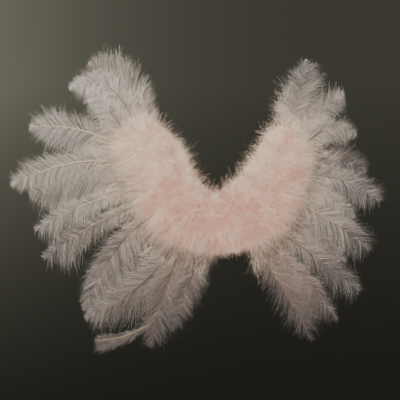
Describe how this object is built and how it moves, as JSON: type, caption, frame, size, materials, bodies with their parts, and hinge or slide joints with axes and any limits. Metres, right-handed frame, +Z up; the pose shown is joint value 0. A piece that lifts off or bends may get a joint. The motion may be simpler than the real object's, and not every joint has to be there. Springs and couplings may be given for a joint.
{
  "type": "feather costume wings",
  "caption": "Pale pink feather wings worn on the back: a butterfly of marabou fluff with ostrich plumes fanned round it, on a felt panel with elastic shoulder loops.",
  "frame": {"origin": "on the wearer's side of the felt panel, at the middle of the back", "axes": "+Z up, +X to the right seen from behind the wearer, +Y towards the wearer's front"},
  "size_m": [0.8886, 0.2346, 0.7036],
  "materials": {
    "plume": "soft, loose barbs",
    "fluff": "soft, downy",
    "felt": "matte",
    "elastic": "matte, ribbed"
  },
  "bodies": {
    "root": {"base_panel": "felt", "marabou_body": "fluff", "plume_left_1": "plume", "plume_left_2": "plume", "plume_left_3": "plume", "plume_left_4": "plume", "plume_left_5": "plume", "plume_left_6": "plume", "plume_left_7": "plume", "plume_left_8": "plume", "plume_left_9": "plume", "plume_left_10": "plume", "plume_left_11": "plume", "plume_left_12": "plume", "plume_left_13": "plume", "plume_right_1": "plume", "plume_right_2": "plume", "plume_right_3": "plume", "plume_right_4": "plume", "plume_right_5": "plume", "plume_right_6": "plume", "plume_right_7": "plume", "plume_right_8": "plume", "plume_right_9": "plume", "plume_right_10": "plume", "plume_right_11": "plume", "shoulder_strap_left": "elastic", "shoulder_strap_right": "elastic"}
  },
  "joints": []
}
